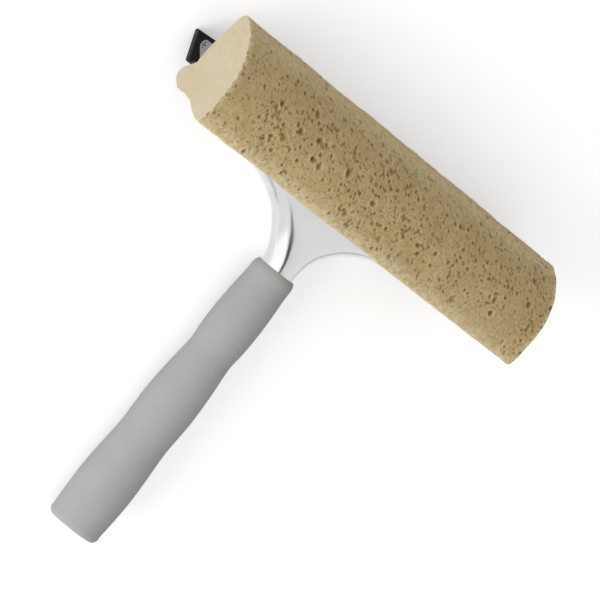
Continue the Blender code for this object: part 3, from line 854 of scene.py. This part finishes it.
def grip_mesh():
    """The grip's own profile, turned finely and with smooth swells."""
    low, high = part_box("handle_tube")
    axis = (low[2] + high[2]) / 2
    widest = {}
    narrowest = {}
    for vert in frame["nodes"]["grip_sleeve"].data.vertices:
        radius = math.hypot(vert.co.x, vert.co.z - axis)
        reach = round(vert.co.y / WELD) * WELD
        widest[reach] = max(radius, widest.get(reach, 0.0))
        narrowest[reach] = min(radius, narrowest.get(reach, radius))
    reaches = sorted(widest, reverse=True)
    outer = [(widest[reach], reach) for reach in reaches]
    line = cornered_line(outer, round(run_length(outer) / GRIP_STEP)).tolist()
    line += [(narrowest[reaches[-1]], reaches[-1]), (narrowest[reaches[0]], reaches[0])]
    turns = [2 * math.pi * k / GRIP_SEGMENTS for k in range(GRIP_SEGMENTS)]
    bm = bmesh.new()
    rings = []
    for radius, reach in line:
        rings.append([
            bm.verts.new((radius * math.cos(a), reach, axis + radius * math.sin(a))) for a in turns
        ])
    for low_ring, high_ring in zip(rings, rings[1:] + rings[:1]):
        for k in range(GRIP_SEGMENTS):
            m = (k + 1) % GRIP_SEGMENTS
            bm.faces.new((low_ring[k], low_ring[m], high_ring[m], high_ring[k]))
    bmesh.ops.recalc_face_normals(bm, faces=bm.faces)
    mesh = smooth_mesh("grip_form", bm)
    mesh.set_sharp_from_angle(angle=CORNER_ANGLE)
    return mesh


def surroundings():
    """A white world, in which reflections see a dark gap overhead, a soft glow and a dim band."""
    world = bpy.data.worlds.new("white_studio")
    bpy.context.scene.world = world
    world.use_nodes = True
    w = Nodes(world.node_tree)
    direction = w.add("ShaderNodeSeparateXYZ")
    w.set(direction.inputs["Vector"], w.add("ShaderNodeTexCoord").outputs["Generated"])
    x, y, z = direction.outputs
    glossy = w.add("ShaderNodeLightPath").outputs["Is Glossy Ray"]
    offsets = [
        w.math("DIVIDE", w.math("SUBTRACT", part, middle), half_width)
        for part, middle, half_width in zip((x, y), GAP_TOWARDS, GAP_HALF_WIDTHS)
    ]
    distance = w.math("ADD", *[w.product(offset, offset) for offset in offsets])
    overhead = w.math("GREATER_THAN", z, 0.0)
    gap = w.product(w.ramp(distance, *GAP_EDGE, 1.0, 0.0), overhead, glossy)
    glow = w.product(w.ramp(x, *GLOW_ACROSS, 1.0, 0.0), w.ramp(y, *GLOW_ALONG), glossy)
    dusk = w.product(w.ramp(x, *DUSK_ACROSS), w.ramp(z, *DUSK_RISE, 1.0, 0.0), glossy)
    levels = ((gap, GAP_LEVEL), (dusk, DUSK_LEVEL), (glow, GLOW_LEVEL))
    shown = w.product(*[w.ramp(share, 0.0, 1.0, 1.0, level) for share, level in levels])
    strength = w.add("ShaderNodeMapRange")
    w.set(strength.inputs["Value"], w.shown_rays())
    w.set(strength.inputs["To Min"], WORLD_FILL)
    w.set(strength.inputs["To Max"], shown)
    background = w.tree.nodes["Background"]
    background.inputs["Color"].default_value = WHITE
    w.set(background.inputs["Strength"], strength.outputs["Result"])


def soft_lamp():
    """One large square lamp, which reflections don't show."""
    lamp = bpy.data.lights.new("key_softbox", "AREA")
    lamp.shape = "SQUARE"
    lamp.size = KEY_SIZE
    lamp.energy = KEY_POWER
    key = bpy.data.objects.new("key_softbox", lamp)
    away = Vector(KEY_DIRECTION).normalized()
    key.location = away * KEY_DISTANCE
    key.rotation_euler = away.to_track_quat("Z", "Y").to_euler()
    key.visible_glossy = False
    bpy.context.scene.collection.objects.link(key)


def pale_floor():
    """A floor that looks white and keeps the object's shadow."""
    s = Shader("pale_floor", 0.9)
    s.colour(FLOOR_COLOUR)
    s.principled.inputs["Emission Color"].default_value = WHITE
    s.set(s.principled.inputs["Emission Strength"], s.product(s.shown_rays(), FLOOR_LIFT))
    bm = bmesh.new()
    half = FLOOR_SIZE / 2
    corners = ((-half, -half), (half, -half), (half, half), (-half, half))
    bm.faces.new([bm.verts.new((x, y, 0.0)) for x, y in corners])
    mesh = smooth_mesh("floor", bm)
    mesh.materials.append(s.material)
    floor = bpy.data.objects.new("floor", mesh)
    bpy.context.scene.collection.objects.link(floor)


def camera():
    """The photograph's viewpoint."""
    right = Vector((math.cos(YAW), 0.0, math.sin(YAW)))
    back = Vector((
        -math.sin(YAW) * math.cos(PITCH),
        math.sin(PITCH),
        math.cos(YAW) * math.cos(PITCH),
    ))
    up = back.cross(right)
    aim = Vector((0.0, BASE_REACH, BASE_RISE)) + AIM_RIGHT * right + AIM_UP * up
    side = math.cos(ROLL) * right + math.sin(ROLL) * up
    top = math.cos(ROLL) * up - math.sin(ROLL) * right
    lens = bpy.data.cameras.new("photo_camera")
    lens.sensor_width = SENSOR_MM
    lens.lens = SENSOR_MM * PIXELS_PER_METRE * DISTANCE / FRAME_PIXELS
    lens.clip_end = FLOOR_SIZE
    view = bpy.data.objects.new("photo_camera", lens)
    bpy.context.scene.collection.objects.link(view)
    turn = Matrix((side, top, back)).transposed().to_4x4()
    view.matrix_world = Matrix.Translation(aim + DISTANCE * back) @ turn
    bpy.context.scene.camera = view
    bpy.context.scene.view_settings.view_transform = "Standard"


def main():
    """Dress the frame, light it and set the camera."""
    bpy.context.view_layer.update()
    steel = plated_steel()
    plastic = moulded_plastic()
    refined("neck_form", "neck_casting", polished_metal(), NECK_EDGE)
    refined("rail_form", "head_rail", drawn_metal("extruded_metal", 0), RAIL_EDGE)
    refined("tube_form", "handle_tube", drawn_metal("drawn_metal", 1), THIN_EDGE)
    refined("blade_form", "rubber_blade", black_rubber(), BLADE_EDGE)
    refined("plug_form", "end_plug", plastic, PLUG_EDGE)
    refined("strip_form", "sponge_backing_strip", plastic, THIN_EDGE)
    refined("pin_form", "tang_pin", steel)
    for side in ("left", "middle", "right"):
        refined("rail_screw_form_" + side, "rail_screw_" + side, steel, THIN_EDGE)
    for side in ("left", "right"):
        refined("lock_screw_form_" + side, "blade_lock_screw_" + side, steel, THIN_EDGE)
    grip = stand_for("grip_form", grip_mesh(), "grip_sleeve", [grip_foam()])
    # Like the lamp, the grip is left out of the reflections in the polished neck
    grip.visible_glossy = False
    sponge = stand_for("sponge_form", sponge_mesh(), "sponge", [sponge_skin(), sponge_cut()])
    surroundings()
    soft_lamp()
    pale_floor()
    camera()


main()
